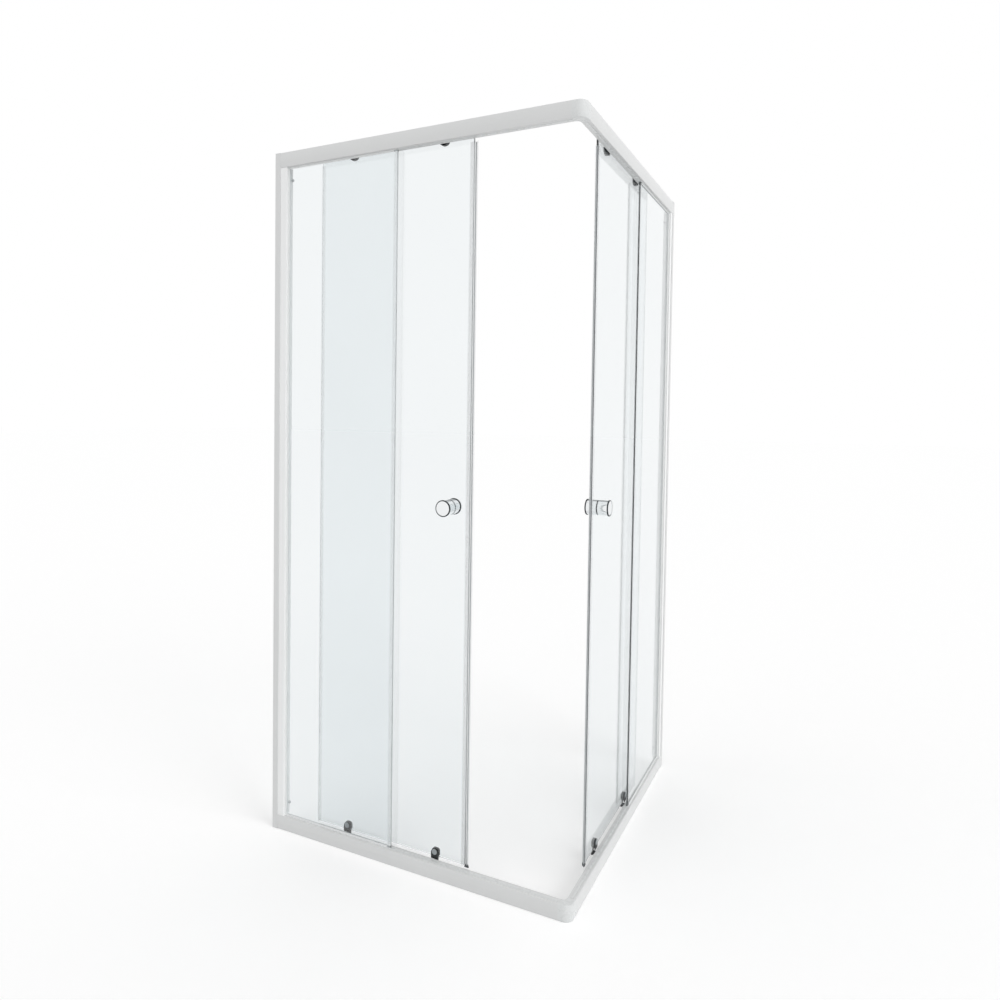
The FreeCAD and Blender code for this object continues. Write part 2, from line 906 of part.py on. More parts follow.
def door_pieces():
    """Name, shape pairs of one closed door."""
    rear, lead = roller_places
    pieces = {
        "door_glass": door_glass(),
        "lead_seal": lead_seal(),
        "rear_seal": rear_seal(),
        "knob_outer": knob(door_face, knob_outer_length, -1),
        "knob_inner": knob(door_back, knob_inner_length, 1),
        "knob_stud": knob_stud(),
        "top_axles": joined([top_axle(along) for along in roller_places]),
        "top_nuts": joined([top_nut(along) for along in roller_places]),
        "roller_housings": joined([roller_housing(along) for along in roller_places]),
        "roller_plates": joined([roller_plate(along) for along in roller_places]),
        "roller_caps": joined([roller_cap(along) for along in roller_places]),
        "roller_springs": joined([roller_spring(along) for along in roller_places]),
    }
    for name, along in (("rear", rear), ("lead", lead)):
        pieces[f"{name}_slide"] = roller_slide(along)
        pieces[f"{name}_bottom_wheel"] = wheel(along, bottom_wheel_height)
        pieces[f"{name}_top_wheel"] = wheel(along, top_wheel_height)
    return pieces


def all_pieces():
    connector = bottom_connector()
    pieces = {
        "bottom_corner_connector": connector,
        "top_corner_connector": upside_down(connector),
    }
    for name, shapes in shared_fasteners().items():
        pieces[name] = joined(shapes + [other_side(shape) for shape in shapes])
    for name, shape in frame_pieces().items():
        pieces[f"left_{name}"] = shape
        pieces[f"right_{name}"] = other_side(shape)
    for name, shape in door_pieces().items():
        for side, opening in openings.items():
            moved = shape.translated(point(-opening, 0, 0))
            pieces[f"{side}_{name}"] = moved if side == "left" else other_side(moved)
    return pieces


os.makedirs("parts", exist_ok=True)
for name, shape in all_pieces().items():
    shape.translated(plan_shift).exportStep(f"parts/{name}.step")
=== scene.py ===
import math

import bmesh
import bpy
from mathutils import Matrix, Vector


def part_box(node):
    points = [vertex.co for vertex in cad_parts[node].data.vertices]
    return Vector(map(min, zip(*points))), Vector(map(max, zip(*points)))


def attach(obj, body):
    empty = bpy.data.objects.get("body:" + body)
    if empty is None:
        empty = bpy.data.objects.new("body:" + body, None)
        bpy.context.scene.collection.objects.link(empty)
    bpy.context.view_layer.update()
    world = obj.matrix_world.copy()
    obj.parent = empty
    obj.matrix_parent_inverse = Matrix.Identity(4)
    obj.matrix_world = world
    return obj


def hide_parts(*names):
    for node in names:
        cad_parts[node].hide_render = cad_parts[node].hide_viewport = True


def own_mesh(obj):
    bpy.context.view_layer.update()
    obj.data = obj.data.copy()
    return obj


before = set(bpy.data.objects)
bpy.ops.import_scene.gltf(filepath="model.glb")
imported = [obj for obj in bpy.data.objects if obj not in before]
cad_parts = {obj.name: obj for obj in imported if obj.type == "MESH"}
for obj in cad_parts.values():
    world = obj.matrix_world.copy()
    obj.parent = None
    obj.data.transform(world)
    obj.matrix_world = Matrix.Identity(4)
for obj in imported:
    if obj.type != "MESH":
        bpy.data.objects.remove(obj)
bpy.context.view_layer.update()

bl_info = {
    "name": "Corner shower enclosure looks",
    "version": (1, 0, 0),
    "blender": (4, 5, 0),
    "location": "View3D > Sidebar > Shower",
    "description": "Finishes, seal details and studio for a corner shower enclosure with sliding doors",
    "category": "Object",
}

SIDES = ("left", "right")
MM = 0.001
# Vertices closer than WELD are one, and a vertex within TOUCH of a face lies on it.
WELD = 0.001 * MM
TOUCH = 0.01 * MM
# A noise texture rarely leaves this band, so the band is stretched to the whole range.
NOISE_BAND = (0.3, 0.7)
# The axis that the panes and knobs of a side face along.
ACROSS = {"left": Vector((0, 1, 0)), "right": Vector((1, 0, 0))}
# The share by which roughness varies over a finish, up and down.
UNEVEN = 0.12


def hex_to_linear(code):
    """Turn an sRGB hex colour such as #F0F0F0 into the linear colour that shaders use."""
    parts = [int(code[i:i + 2], 16) / 255 for i in (1, 3, 5)]
    return tuple(c / 12.92 if c <= 0.04045 else ((c + 0.055) / 1.055) ** 2.4 for c in parts)


def opaque(colour):
    """A linear colour with full alpha."""
    return (*colour, 1.0)


def colour_property(code, name, description):
    return bpy.props.FloatVectorProperty(
        name=name, description=description, default=hex_to_linear(code),
        subtype="COLOR", size=3, min=0, max=1)


def length_property(value, name, description):
    return bpy.props.FloatProperty(
        name=name, description=description, default=value, subtype="DISTANCE", unit="LENGTH", min=0)


class ShowerFinishes(bpy.types.PropertyGroup):
    """Colours that a user may change."""
    powder_coat: colour_property("#E1E2E2", "Powder coat", "Colour of the rails and wall channels")
    # Painted light: the side profiles get a lighter copy of the rails' white, which makes them look
    # brighter than the channels.
    profile_coat_painted_lighter: colour_property("#FAFBFB", "Gloss coat", "Colour of the side profiles")
    mouldings: colour_property(
        "#E2E4E4", "Mouldings", "Colour of the corner connectors, end blocks and caps")
    glass: colour_property("#F3F6F7", "Glass", "Tint of light that passes through a pane")
    glass_edge: colour_property("#C3CFCE", "Glass edge", "Colour of the ground edges of the panes")
    seals: colour_property(
        "#BEC2C4", "Seals", "Colour of the translucent seals on the leading edges")
    clear_seals: colour_property("#C0C4C6", "Clear seals", "Colour of the clear seals on the other edges")
    gasket: colour_property("#F2F4F4", "Gasket", "Colour of the gasket round the fixed glass")
    black_parts: colour_property(
        "#2B2D2F", "Roller mouldings", "Colour of the roller housings, plates and slides")
    grey_parts: colour_property(
        "#A5ABAE", "Roller rivets", "Colour of the push rivets of the bottom rollers")
    wheels: colour_property("#34373A", "Wheels", "Colour of the roller wheels")
    bumpers: colour_property("#D2D5D6", "Bumpers", "Colour of the door bumpers")
    washers: colour_property("#A6AAAC", "Washers", "Tint of the clear washers under the knobs")
    magnets: colour_property("#C2C6C8", "Magnets", "Colour of the magnet strips in the seals")
    seal_feet: colour_property("#54585B", "Seal feet", "Colour of the plugs at the feet of the seals")
    zinc: colour_property("#C9CBCC", "Zinc", "Colour of the plated screws, studs and axles")
    spring: colour_property("#9C9EA0", "Springs", "Colour of the springs of the bottom rollers")
    chrome: colour_property("#F0F2F3", "Chrome", "Colour of the plate on the knobs")
    # Painted reflection: the dark colour painted on the knobs' rims and the tops of their drums.
    chrome_painted_reflection: colour_property(
        "#3B3E41", "Chrome shade", "Colour of the knobs where they mirror dark surroundings")


class ShowerDetails(bpy.types.PropertyGroup):
    """Sizes of the pieces that are added to the frame."""
    magnet_thickness: length_property(
        1.6 * MM, "Magnet thickness", "Thickness of the magnet strip in a seal")
    magnet_width: length_property(5.0 * MM, "Magnet width", "Width of the magnet strip in a seal")
    magnet_backing: length_property(
        1.9 * MM, "Magnet backing", "How far behind its face a seal holds the magnet")
    magnet_inset: length_property(
        2.0 * MM, "Magnet inset", "How far a magnet strip stops short of each end of its seal")
    magnet_rounding: length_property(0.3 * MM, "Magnet rounding", "Radius of a strip's edges")
    foot_height: length_property(5.0 * MM, "Seal foot height", "Height of the plug at the foot of a seal")
    foot_length: length_property(12.0 * MM, "Seal foot length", "Length of the plug along the door")
    foot_wall: length_property(0.3 * MM, "Seal foot wall", "How far the plug stands round the seal")
    foot_rounding: length_property(0.5 * MM, "Seal foot rounding", "Radius of the plug's edges")
    # Sizes of the painted reflection on the knobs: dark is painted outside the knob ring on an end, and a
    # lip further out on the drum's side.
    knob_ring: length_property(
        17.7 * MM, "Knob ring", "Radius outside which the end of a knob looks dark")
    knob_lip: length_property(
        1.6 * MM, "Knob lip", "How much further out the side of a knob stays bright")
    washer_radius: length_property(
        17.6 * MM, "Washer radius", "Outer radius of the washers under the knobs")
    washer_thickness: length_property(
        0.9 * MM, "Washer thickness", "Thickness of the washers under the knobs")
    gasket_rim: length_property(
        1.0 * MM, "Gasket rim", "How far the gasket stands out of the rails and profiles")
    glass_gap: length_property(
        0.05 * MM, "Glass gap", "Air between the rubber and the glass, which lets light in")
    bead_width: length_property(
        3.5 * MM, "Bead width", "Width of the gasket's lip on the outside of a fixed pane")
    bead_rounding: bpy.props.FloatProperty(
        name="Bead rounding", description="Share of a bead's thickness that its edge is rounded over",
        default=0.7, subtype="FACTOR", min=0, max=1)
    spring_width: length_property(
        4.4 * MM, "Spring width", "Width of the folded springs of the bottom rollers")
    spring_strip: length_property(
        0.4 * MM, "Spring strip", "Thickness of the strip that the springs are folded of")
    spring_legs: bpy.props.IntProperty(
        name="Spring legs", description="Legs of the strip in a folded spring", default=4, min=2)
    spring_travel: length_property(
        4.5 * MM, "Spring travel", "How far a slide presses its spring together")


def finishes():
    return bpy.context.scene.shower_finishes


def details():
    return bpy.context.scene.shower_details


def add_node(tree, kind, settings=None, links=None):
    """Add a node, set its sockets or attributes, and link (node, output) pairs to its inputs."""
    node = tree.nodes.new(kind)
    for key, value in (settings or {}).items():
        if isinstance(key, int) or key in node.inputs:
            node.inputs[key].default_value = value
        else:
            setattr(node, key, value)
    for key, (source, output) in (links or {}).items():
        tree.links.new(source.outputs[output], node.inputs[key])
    return node


def new_material(name):
    material = bpy.data.materials.new(name)
    material.use_nodes = True
    material.node_tree.nodes.clear()
    return material, material.node_tree


def mottled(tree, coords, feature, low, high):
    """Noise of one feature size in metres, remapped to a low and a high value."""
    noise = add_node(tree, "ShaderNodeTexNoise", {"Scale": 1 / feature, "Detail": 3.0},
                     {"Vector": (coords, "Object")})
    return add_node(tree, "ShaderNodeMapRange",
                    {"From Min": NOISE_BAND[0], "From Max": NOISE_BAND[1], "To Min": low, "To Max": high},
                    {"Value": (noise, "Fac")})


def tinted(tree, coords, colour, feature, spread):
    """A colour that drifts a little lighter and darker over the surface."""
    drift = mottled(tree, coords, feature, 0.0, 1.0)
    darker = tuple(c * (1 - spread) for c in colour)
    return add_node(tree, "ShaderNodeMix", {"data_type": "RGBA", 6: opaque(darker), 7: opaque(colour)},
                    {0: (drift, "Result")})


def surface_bump(tree, coords, feature, height):
    """Small relief of one feature size and height, both in metres."""
    noise = add_node(tree, "ShaderNodeTexNoise", {"Scale": 1 / feature, "Detail": 2.0},
                     {"Vector": (coords, "Object")})
    return add_node(tree, "ShaderNodeBump", {"Strength": 1.0, "Distance": height},
                    {"Height": (noise, "Fac")})


def solid_finish(name, colour, roughness, grain, height, spread, drift=0.12, settings=None):
    """A finish with a drifting colour, uneven roughness and fine relief.

    The relief has a grain and a height, the colour gets darker by up to the share of spread, and
    drift is how far apart lighter and darker places are. Lengths are in metres."""
    material, tree = new_material(name)
    coords = add_node(tree, "ShaderNodeTexCoord")
    shade = tinted(tree, coords, tuple(colour), drift, spread)
    rough = mottled(tree, coords, drift / 4, roughness * (1 - UNEVEN), roughness * (1 + UNEVEN))
    relief = surface_bump(tree, coords, grain, height)
    shader = add_node(tree, "ShaderNodeBsdfPrincipled", settings,
                      {"Base Color": (shade, "Result"), "Roughness": (rough, "Result"),
                       "Normal": (relief, "Normal")})
    add_node(tree, "ShaderNodeOutputMaterial", None, {"Surface": (shader, "BSDF")})
    return material


def powder_coated_aluminium():
    # Electrostatic polyester powder baked on: satin white with a faint orange peel. The real peel
    # is about 1.5 mm across and is drawn at 4 mm, because the render can't show it finer.
    return solid_finish("powder_coated_aluminium", finishes().powder_coat, roughness=0.36,
                        grain=4 * MM, height=0.012 * MM, spread=0.02)


def gloss_aluminium_painted_lighter():
    # The same powder in a glossier grade, baked smooth, and a lighter colour than the channels' coat of
    # the same white:
    # painted light, which makes the uprights that hold the glass look brighter than the channels that
    # they slide in.
    return solid_finish("gloss_aluminium_painted_lighter", finishes().profile_coat_painted_lighter, roughness=0.22,
                        grain=5 * MM, height=0.006 * MM, spread=0.02)


def moulded_abs_white():
    # Injection-moulded ABS: smoother and a little glossier than the coated rails beside it.
    return solid_finish("moulded_abs_white", finishes().mouldings, roughness=0.28,
                        grain=6 * MM, height=0.008 * MM, spread=0.02, drift=0.05)


def moulded_pom_black():
    # Injection-moulded acetal, spark-eroded mould texture, which leaves a soft sheen on black.
    return solid_finish("moulded_pom_black", finishes().black_parts, roughness=0.42,
                        grain=1.2 * MM, height=0.02 * MM, spread=0.15, drift=0.02)


def moulded_pom_grey():
    # The same acetal in grey, on the small push rivets.
    return solid_finish("moulded_pom_grey", finishes().grey_parts, roughness=0.4,
                        grain=1.2 * MM, height=0.015 * MM, spread=0.08, drift=0.02)


def turned_nylon_dark():
    # Turned glass-filled nylon: dull, mottled by its fibres and by running on the rail.
    return solid_finish("turned_nylon_dark", finishes().wheels, roughness=0.5,
                        grain=0.8 * MM, height=0.02 * MM, spread=0.2, drift=0.01)


def extruded_rubber(name, colour):
    # Milky glazing rubber: matt, with a fine skin that scatters the light.
    return solid_finish(name, colour, roughness=0.72,
                        grain=0.9 * MM, height=0.03 * MM, spread=0.04, drift=0.04)


def zinc_plated_steel():
    # Cold-headed steel with bright zinc: a pale metal, slightly grained.
    return solid_finish("zinc_plated_steel", finishes().zinc, roughness=0.3,
                        grain=0.7 * MM, height=0.01 * MM, spread=0.06, drift=0.01,
                        settings={"Metallic": 1.0})


def folded_spring_steel():
    # Rolled strip, folded and tempered: darker than the plated screws.
    return solid_finish("folded_spring_steel", finishes().spring, roughness=0.34,
                        grain=0.6 * MM, height=0.008 * MM, spread=0.1, drift=0.008,
                        settings={"Metallic": 1.0})


def bonded_ferrite():
    # Plastic-bonded ferrite in a pale sleeve: dull grey, seen as a line through the clear seal.
    return solid_finish("bonded_ferrite", finishes().magnets, roughness=0.6,
                        grain=1 * MM, height=0.01 * MM, spread=0.1, drift=0.02)


def moulded_pvc_plug():
    # Moulded dark grey PVC, satin like the tool that it comes from.
    return solid_finish("moulded_pvc_plug", finishes().seal_feet, roughness=0.45,
                        grain=1 * MM, height=0.015 * MM, spread=0.1, drift=0.02)


def end_on(tree, geometry, across):
    """How far a surface faces along an axis: 1 for a face that looks along it, 0 for a side."""
    facing = add_node(tree, "ShaderNodeVectorMath", {"operation": "DOT_PRODUCT", 1: across},
                      {0: (geometry, "Normal")})
    return add_node(tree, "ShaderNodeMath", {"operation": "ABSOLUTE"}, {0: (facing, "Value")})


def polished_chrome(side):
    """Chrome for the knobs of one side, whose axis runs through the door."""
    # Nickel-chrome plate over turned brass: a near mirror. The narrow raised rim and the top of
    # the drum get a painted reflection: dark colour is painted into the plate's colour there, for the
    # dark surroundings above that they would mirror, so a dark line runs round and along the knob.
    material, tree = new_material(f"polished_chrome_{side}")
    coords = add_node(tree, "ShaderNodeTexCoord")
    low, high = (Vector(corner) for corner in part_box(f"{side}_knob_stud"))
    centred = add_node(tree, "ShaderNodeVectorMath", {"operation": "SUBTRACT", 1: (low + high) / 2},
                       {0: (coords, "Object")})
    sideways = add_node(tree, "ShaderNodeVectorMath",
                        {"operation": "MULTIPLY", 1: Vector((1, 1, 1)) - ACROSS[side]},
                        {0: (centred, "Vector")})
    radius = add_node(tree, "ShaderNodeVectorMath", {"operation": "LENGTH"}, {0: (sideways, "Vector")})
    geometry = add_node(tree, "ShaderNodeNewGeometry")
    endwise = end_on(tree, geometry, ACROSS[side])
    # The painted dark ring starts nearer the axis on an end than on the drum's side, by the lip.
    reach = add_node(tree, "ShaderNodeMath", {"operation": "MULTIPLY_ADD", 1: details().knob_lip},
                     {0: (endwise, "Value"), 2: (radius, "Value")})
    ring = details().knob_ring + details().knob_lip
    fade = 0.2 * MM
    rim = add_node(tree, "ShaderNodeMapRange", {"From Min": ring, "From Max": ring + fade},
                   {"Value": (reach, "Value")})
    # The second place of painted reflection is a dark strip painted on the drum where it looks up.
    heading = add_node(tree, "ShaderNodeSeparateXYZ", None, {0: (geometry, "Normal")})
    top = add_node(tree, "ShaderNodeMapRange", {"From Min": 0.8, "From Max": 0.97, "To Max": 0.8},
                   {"Value": (heading, "Z")})
    dark = add_node(tree, "ShaderNodeMath", {"operation": "MAXIMUM"},
                    {0: (rim, "Result"), 1: (top, "Result")})
    bright = tinted(tree, coords, finishes().chrome, feature=30 * MM, spread=0.02)
    # The painted reflection: the dark colour is painted over the plate's colour by this mask.
    shade = add_node(tree, "ShaderNodeMix", {"data_type": "RGBA", 7: opaque(finishes().chrome_painted_reflection)},
                     {0: (dark, "Value"), 6: (bright, "Result")})
    rough = mottled(tree, coords, feature=10 * MM, low=0.05, high=0.08)
    shader = add_node(tree, "ShaderNodeBsdfPrincipled", {"Metallic": 1.0},
                      {"Base Color": (shade, "Result"), "Roughness": (rough, "Result")})
    add_node(tree, "ShaderNodeOutputMaterial", None, {"Surface": (shader, "BSDF")})
    return material


def extruded_pvc(name, colour, cover):
    # Clear soft PVC with a faintly wavy skin from the die. Each of its faces covers a little of
    # what is behind it, so folds and thick places look greyer than single walls.
    return solid_finish(name, colour, roughness=0.3,
                        grain=3 * MM, height=0.02 * MM, spread=0.05, drift=0.06,
                        settings={"Alpha": cover, "IOR": 1.53})


def toughened_float_glass(side):
    """Glass for the panes of one side."""
    # Toughened float glass: clear with a cool tint, long shallow waves from the furnace rollers,
    # and ground edges that look darker and greener, because sight runs the long way through them.
    material, tree = new_material(f"toughened_float_glass_{side}")
    coords = add_node(tree, "ShaderNodeTexCoord")
    geometry = add_node(tree, "ShaderNodeNewGeometry")
    flat = end_on(tree, geometry, ACROSS[side])
    edge = add_node(tree, "ShaderNodeMath", {"operation": "LESS_THAN", 1: 0.5}, {0: (flat, "Value")})
    tint = tinted(tree, coords, finishes().glass, feature=0.4, spread=0.01)
    shade = add_node(tree, "ShaderNodeMix", {"data_type": "RGBA", 7: opaque(finishes().glass_edge)},
                     {0: (edge, "Value"), 6: (tint, "Result")})
    ground_roughness = 0.3
    rough = add_node(tree, "ShaderNodeMath", {"operation": "MULTIPLY", 1: ground_roughness},
                     {0: (edge, "Value")})
    wave = surface_bump(tree, coords, feature=0.28, height=0.02 * MM)
    pane = add_node(tree, "ShaderNodeBsdfPrincipled", {"Transmission Weight": 1.0, "IOR": 1.52},
                    {"Base Color": (shade, "Result"), "Roughness": (rough, "Value"),
                     "Normal": (wave, "Normal")})
    # A pane lets nearly all light through to what is in its shadow.
    let_through = (0.955, 0.965, 0.965)
    passing = add_node(tree, "ShaderNodeBsdfTransparent", {"Color": opaque(let_through)})
    rays = add_node(tree, "ShaderNodeLightPath")
    mixed = add_node(tree, "ShaderNodeMixShader", None,
                     {0: (rays, "Is Shadow Ray"), 1: (pane, "BSDF"), 2: (passing, "BSDF")})
    add_node(tree, "ShaderNodeOutputMaterial", None, {"Surface": (mixed, "Shader")})
    return material


def dress(material, *nodes):
    """Give CAD nodes a material, in every slot that they have."""
    for node in nodes:
        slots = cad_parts[node].material_slots
        if not slots:
            raise RuntimeError(f"{node} has no material slot")
        for slot in slots:
            slot.material = material


def both(*endings):
    """The names of nodes that are on both sides, from what follows the side in them."""
    return [f"{side}_{ending}" for side in SIDES for ending in endings]


def finish_piece(shape, name, material, body):
    """Make an object of a bmesh, placed by its mesh, and let it ride on a body."""
    bmesh.ops.remove_doubles(shape, verts=shape.verts, dist=WELD)
    bmesh.ops.recalc_face_normals(shape, faces=shape.faces)
    if shape.calc_volume(signed=True) < 0:
        bmesh.ops.reverse_faces(shape, faces=shape.faces)
    mesh = bpy.data.meshes.new(name)
    shape.to_mesh(mesh)
    shape.free()
    mesh.materials.append(material)
    piece = bpy.data.objects.new(name, mesh)
    bpy.context.scene.collection.objects.link(piece)
    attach(piece, body)
    return piece


def side_matrix(side):
    """From a left piece to its mirror image on the right, through the corner's diagonal plane."""
    if side == "left":
        return Matrix.Identity(4)
    return Matrix(((0, -1, 0, 0), (-1, 0, 0, 0), (0, 0, 1, 0), (0, 0, 0, 1)))


def fit_box(shape, low, high):
    """Bring a shape into the box between two corners."""
    start = Vector([min(vertex.co[axis] for vertex in shape.verts) for axis in range(3)])
    end = Vector([max(vertex.co[axis] for vertex in shape.verts) for axis in range(3)])
    scale = [(high - low)[axis] / (end - start)[axis] for axis in range(3)]
    bmesh.ops.translate(shape, vec=-start, verts=shape.verts)
    bmesh.ops.scale(shape, vec=scale, verts=shape.verts)
    bmesh.ops.translate(shape, vec=low, verts=shape.verts)


def box_shape(low, high):
    """A box between two corners."""
    shape = bmesh.new()
    low, high = Vector(low), Vector(high)
    bmesh.ops.create_cube(shape, size=1.0)
    bmesh.ops.scale(shape, vec=high - low, verts=shape.verts)
    bmesh.ops.translate(shape, vec=(low + high) / 2, verts=shape.verts)
    return shape


def round_edges(shape, edges, radius, segments, clamp_overlap=False):
    """Round edges of a shape."""
    bmesh.ops.bevel(shape, geom=edges, offset=radius, offset_type="OFFSET", segments=segments,
                    profile=0.5, affect="EDGES", material=-1, clamp_overlap=clamp_overlap)


def cut_off(shape, place, beyond):
    """Cut off what lies beyond a plane, and close the cut."""
    bmesh.ops.bisect_plane(shape, geom=shape.verts[:] + shape.edges[:] + shape.faces[:],
                           plane_co=place, plane_no=beyond, clear_outer=True)
    cut = [edge for edge in shape.edges if edge.is_boundary]
    bmesh.ops.holes_fill(shape, edges=cut, sides=0)


def left_box(side, ending):
    """The box of a node of one side as if it were on the left side."""
    low, high = (Vector(corner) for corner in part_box(f"{side}_{ending}"))
    if side == "left":
        return low, high
    return Vector((-high.y, -high.x, low.z)), Vector((-low.y, -low.x, high.z))


class SHOWER_OT_extrusions(bpy.types.Operator):
    """Coat the rails, wall channels and side profiles"""
    bl_idname = "shower.extrusions"
    bl_label = "Coat extrusions"

    def execute(self, context):
        dress(powder_coated_aluminium(), *both("bottom_rail", "top_rail", "wall_channel"))
        dress(gloss_aluminium_painted_lighter(), *both("side_profile"))
        return {"FINISHED"}


class SHOWER_OT_mouldings(bpy.types.Operator):
    """Finish the corner connectors, end blocks, screw caps and slot fillers"""
    bl_idname = "shower.mouldings"
    bl_label = "Finish mouldings"

    def execute(self, context):
        dress(moulded_abs_white(), "bottom_corner_connector", "top_corner_connector", "adjuster_caps",
              "slot_fillers", *both("end_blocks"))
        return {"FINISHED"}


class SHOWER_OT_panes(bpy.types.Operator):
    """Glaze the fixed panels and the doors"""
    bl_idname = "shower.panes"
    bl_label = "Glaze panes"

    def execute(self, context):
        for side in SIDES:
            dress(toughened_float_glass(side), f"{side}_fixed_glass", f"{side}_door_glass")
        return {"FINISHED"}


class SHOWER_OT_seals(bpy.types.Operator):
    """Finish the door seals, edge seals and bumpers"""
    bl_idname = "shower.seals"
    bl_label = "Finish seals"

    def execute(self, context):
        dress(extruded_rubber("moulded_rubber_bumper", finishes().bumpers), "door_bumpers")
        dress(extruded_pvc("extruded_pvc_magnet_seal", finishes().seals, cover=0.09),
              *both("lead_seal"))
        dress(extruded_pvc("extruded_pvc_clear_seal", finishes().clear_seals, cover=0.06),
              *both("edge_seal", "rear_seal"))
        return {"FINISHED"}


class SHOWER_OT_gaskets(bpy.types.Operator):
    """Lift the gaskets a hair off the fixed panes, so that light reaches the rubber behind the glass"""
    bl_idname = "shower.gaskets"
    bl_label = "Lift gaskets"

    def execute(self, context):
        rubber = extruded_rubber("extruded_glazing_rubber", finishes().gasket)
        gap = details().glass_gap
        for side in SIDES:
            node = f"{side}_glass_gasket"
            dress(rubber, node)
            low, high = left_box(side, "fixed_glass")
            shape = bmesh.new()
            shape.from_mesh(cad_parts[node].data)
            bmesh.ops.remove_doubles(shape, verts=shape.verts, dist=WELD)
            bmesh.ops.transform(shape, matrix=side_matrix(side), verts=shape.verts)
            for face, move in ((low.y, -gap), (high.y, gap)):
                bonded = [vertex for vertex in shape.verts if abs(vertex.co.y - face) < TOUCH]
                if not bonded:
                    raise RuntimeError(f"{node} doesn't touch the glass")
                bmesh.ops.translate(shape, vec=(0, move, 0), verts=bonded)
            bmesh.ops.transform(shape, matrix=side_matrix(side), verts=shape.verts)
            gasket = finish_piece(shape, f"{side}_glazing_gasket", rubber, "frame")
            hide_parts(node)
        return {"FINISHED"}


class SHOWER_OT_glazing_beads(bpy.types.Operator):
    """Lay the gasket's wide lip along three borders of each fixed pane, on its outside"""
    bl_idname = "shower.glazing_beads"
    bl_label = "Add glazing beads"

    def execute(self, context):
        rubber = extruded_rubber("extruded_glazing_bead", finishes().gasket)
        rim, width = details().gasket_rim, details().bead_width
        for side in SIDES:
            near = left_box(side, "side_profile")[1].x + rim
            far = left_box(side, "edge_seal")[0].x
            bottom = left_box(side, "bottom_rail")[1].z + rim
            top = left_box(side, "top_rail")[0].z - rim
            front = left_box(side, "glass_gasket")[0].y
            back = left_box(side, "fixed_glass")[0].y - details().glass_gap
            # A plate is opened like a window, and its fourth border is cut off.
            shape = box_shape((near, front, bottom), (far + 2 * width, back, top))
            shape.normal_update()
            broad = [face for face in shape.faces if abs(face.normal.y) > 0.5]
            bmesh.ops.inset_region(shape, faces=broad, thickness=width,
                                   use_boundary=True, use_even_offset=True)
            opening = [edge for face in broad for edge in face.edges]
            bmesh.ops.delete(shape, geom=broad, context="FACES_ONLY")
            bmesh.ops.bridge_loops(shape, edges=opening)
            cut_off(shape, (far, 0, 0), beyond=(1, 0, 0))
            # The front edges round the opening stand free.
            free = [edge for edge in shape.edges
                    if all(abs(vertex.co.y - front) < WELD and near + width / 2 < vertex.co.x
                           and bottom + width / 2 < vertex.co.z < top - width / 2
                           for vertex in edge.verts)]
            round_edges(shape, free, (back - front) * details().bead_rounding, segments=3)
            bmesh.ops.transform(shape, matrix=side_matrix(side), verts=shape.verts)
            finish_piece(shape, f"{side}_glazing_bead", rubber, "frame")
        return {"FINISHED"}


class SHOWER_OT_knobs(bpy.types.Operator):
    """Plate the knobs and add the clear washers under them"""
    bl_idname = "shower.knobs"
    bl_label = "Plate knobs"

    def execute(self, context):
        clear = extruded_pvc("moulded_pvc_washer", finishes().washers, cover=0.3)
        radius, thickness = details().washer_radius, details().washer_thickness
        for side in SIDES:
            dress(polished_chrome(side), f"{side}_knob_outer", f"{side}_knob_inner")
            stud_low, stud_high = left_box(side, "knob_stud")
            pane_low, pane_high = left_box(side, "door_glass")
            for place, depth in (("outer", pane_low.y - thickness / 2),
                                 ("inner", pane_high.y + thickness / 2)):
                centre = (stud_low + stud_high) / 2
                centre.y = depth
                shape = bmesh.new()
                bmesh.ops.create_cone(shape, cap_ends=True, segments=72,
                                      radius1=radius, radius2=radius, depth=thickness)
                rims = [edge for edge in shape.edges
                        if abs(edge.verts[0].co.z - edge.verts[1].co.z) < WELD]
                round_edges(shape, rims, thickness / 4, segments=2)
                turned = Matrix.Translation(centre) @ Matrix.Rotation(math.radians(90), 4, "X")
                bmesh.ops.transform(shape, matrix=side_matrix(side) @ turned, verts=shape.verts)
                finish_piece(shape, f"{side}_knob_washer_{place}", clear, f"{side}_door")
        return {"FINISHED"}


class SHOWER_OT_rollers(bpy.types.Operator):
    """Finish the wheels, housings, plates, slides and cap nuts"""
    bl_idname = "shower.rollers"
    bl_label = "Finish rollers"

    def execute(self, context):
        dress(turned_nylon_dark(),
              *both("rear_bottom_wheel", "lead_bottom_wheel", "rear_top_wheel", "lead_top_wheel"))
        dress(moulded_pom_black(),
              *both("roller_housings", "roller_plates", "rear_slide", "lead_slide", "top_nuts"))
        dress(moulded_pom_grey(), *both("roller_caps"))
        return {"FINISHED"}


class SHOWER_OT_fixings(bpy.types.Operator):
    """Finish the screws, studs and axles"""
    bl_idname = "shower.fixings"
    bl_label = "Finish fixings"

    def execute(self, context):
        dress(zinc_plated_steel(), "rail_screws", "adjuster_screws", *both("knob_stud", "top_axles"))
        return {"FINISHED"}


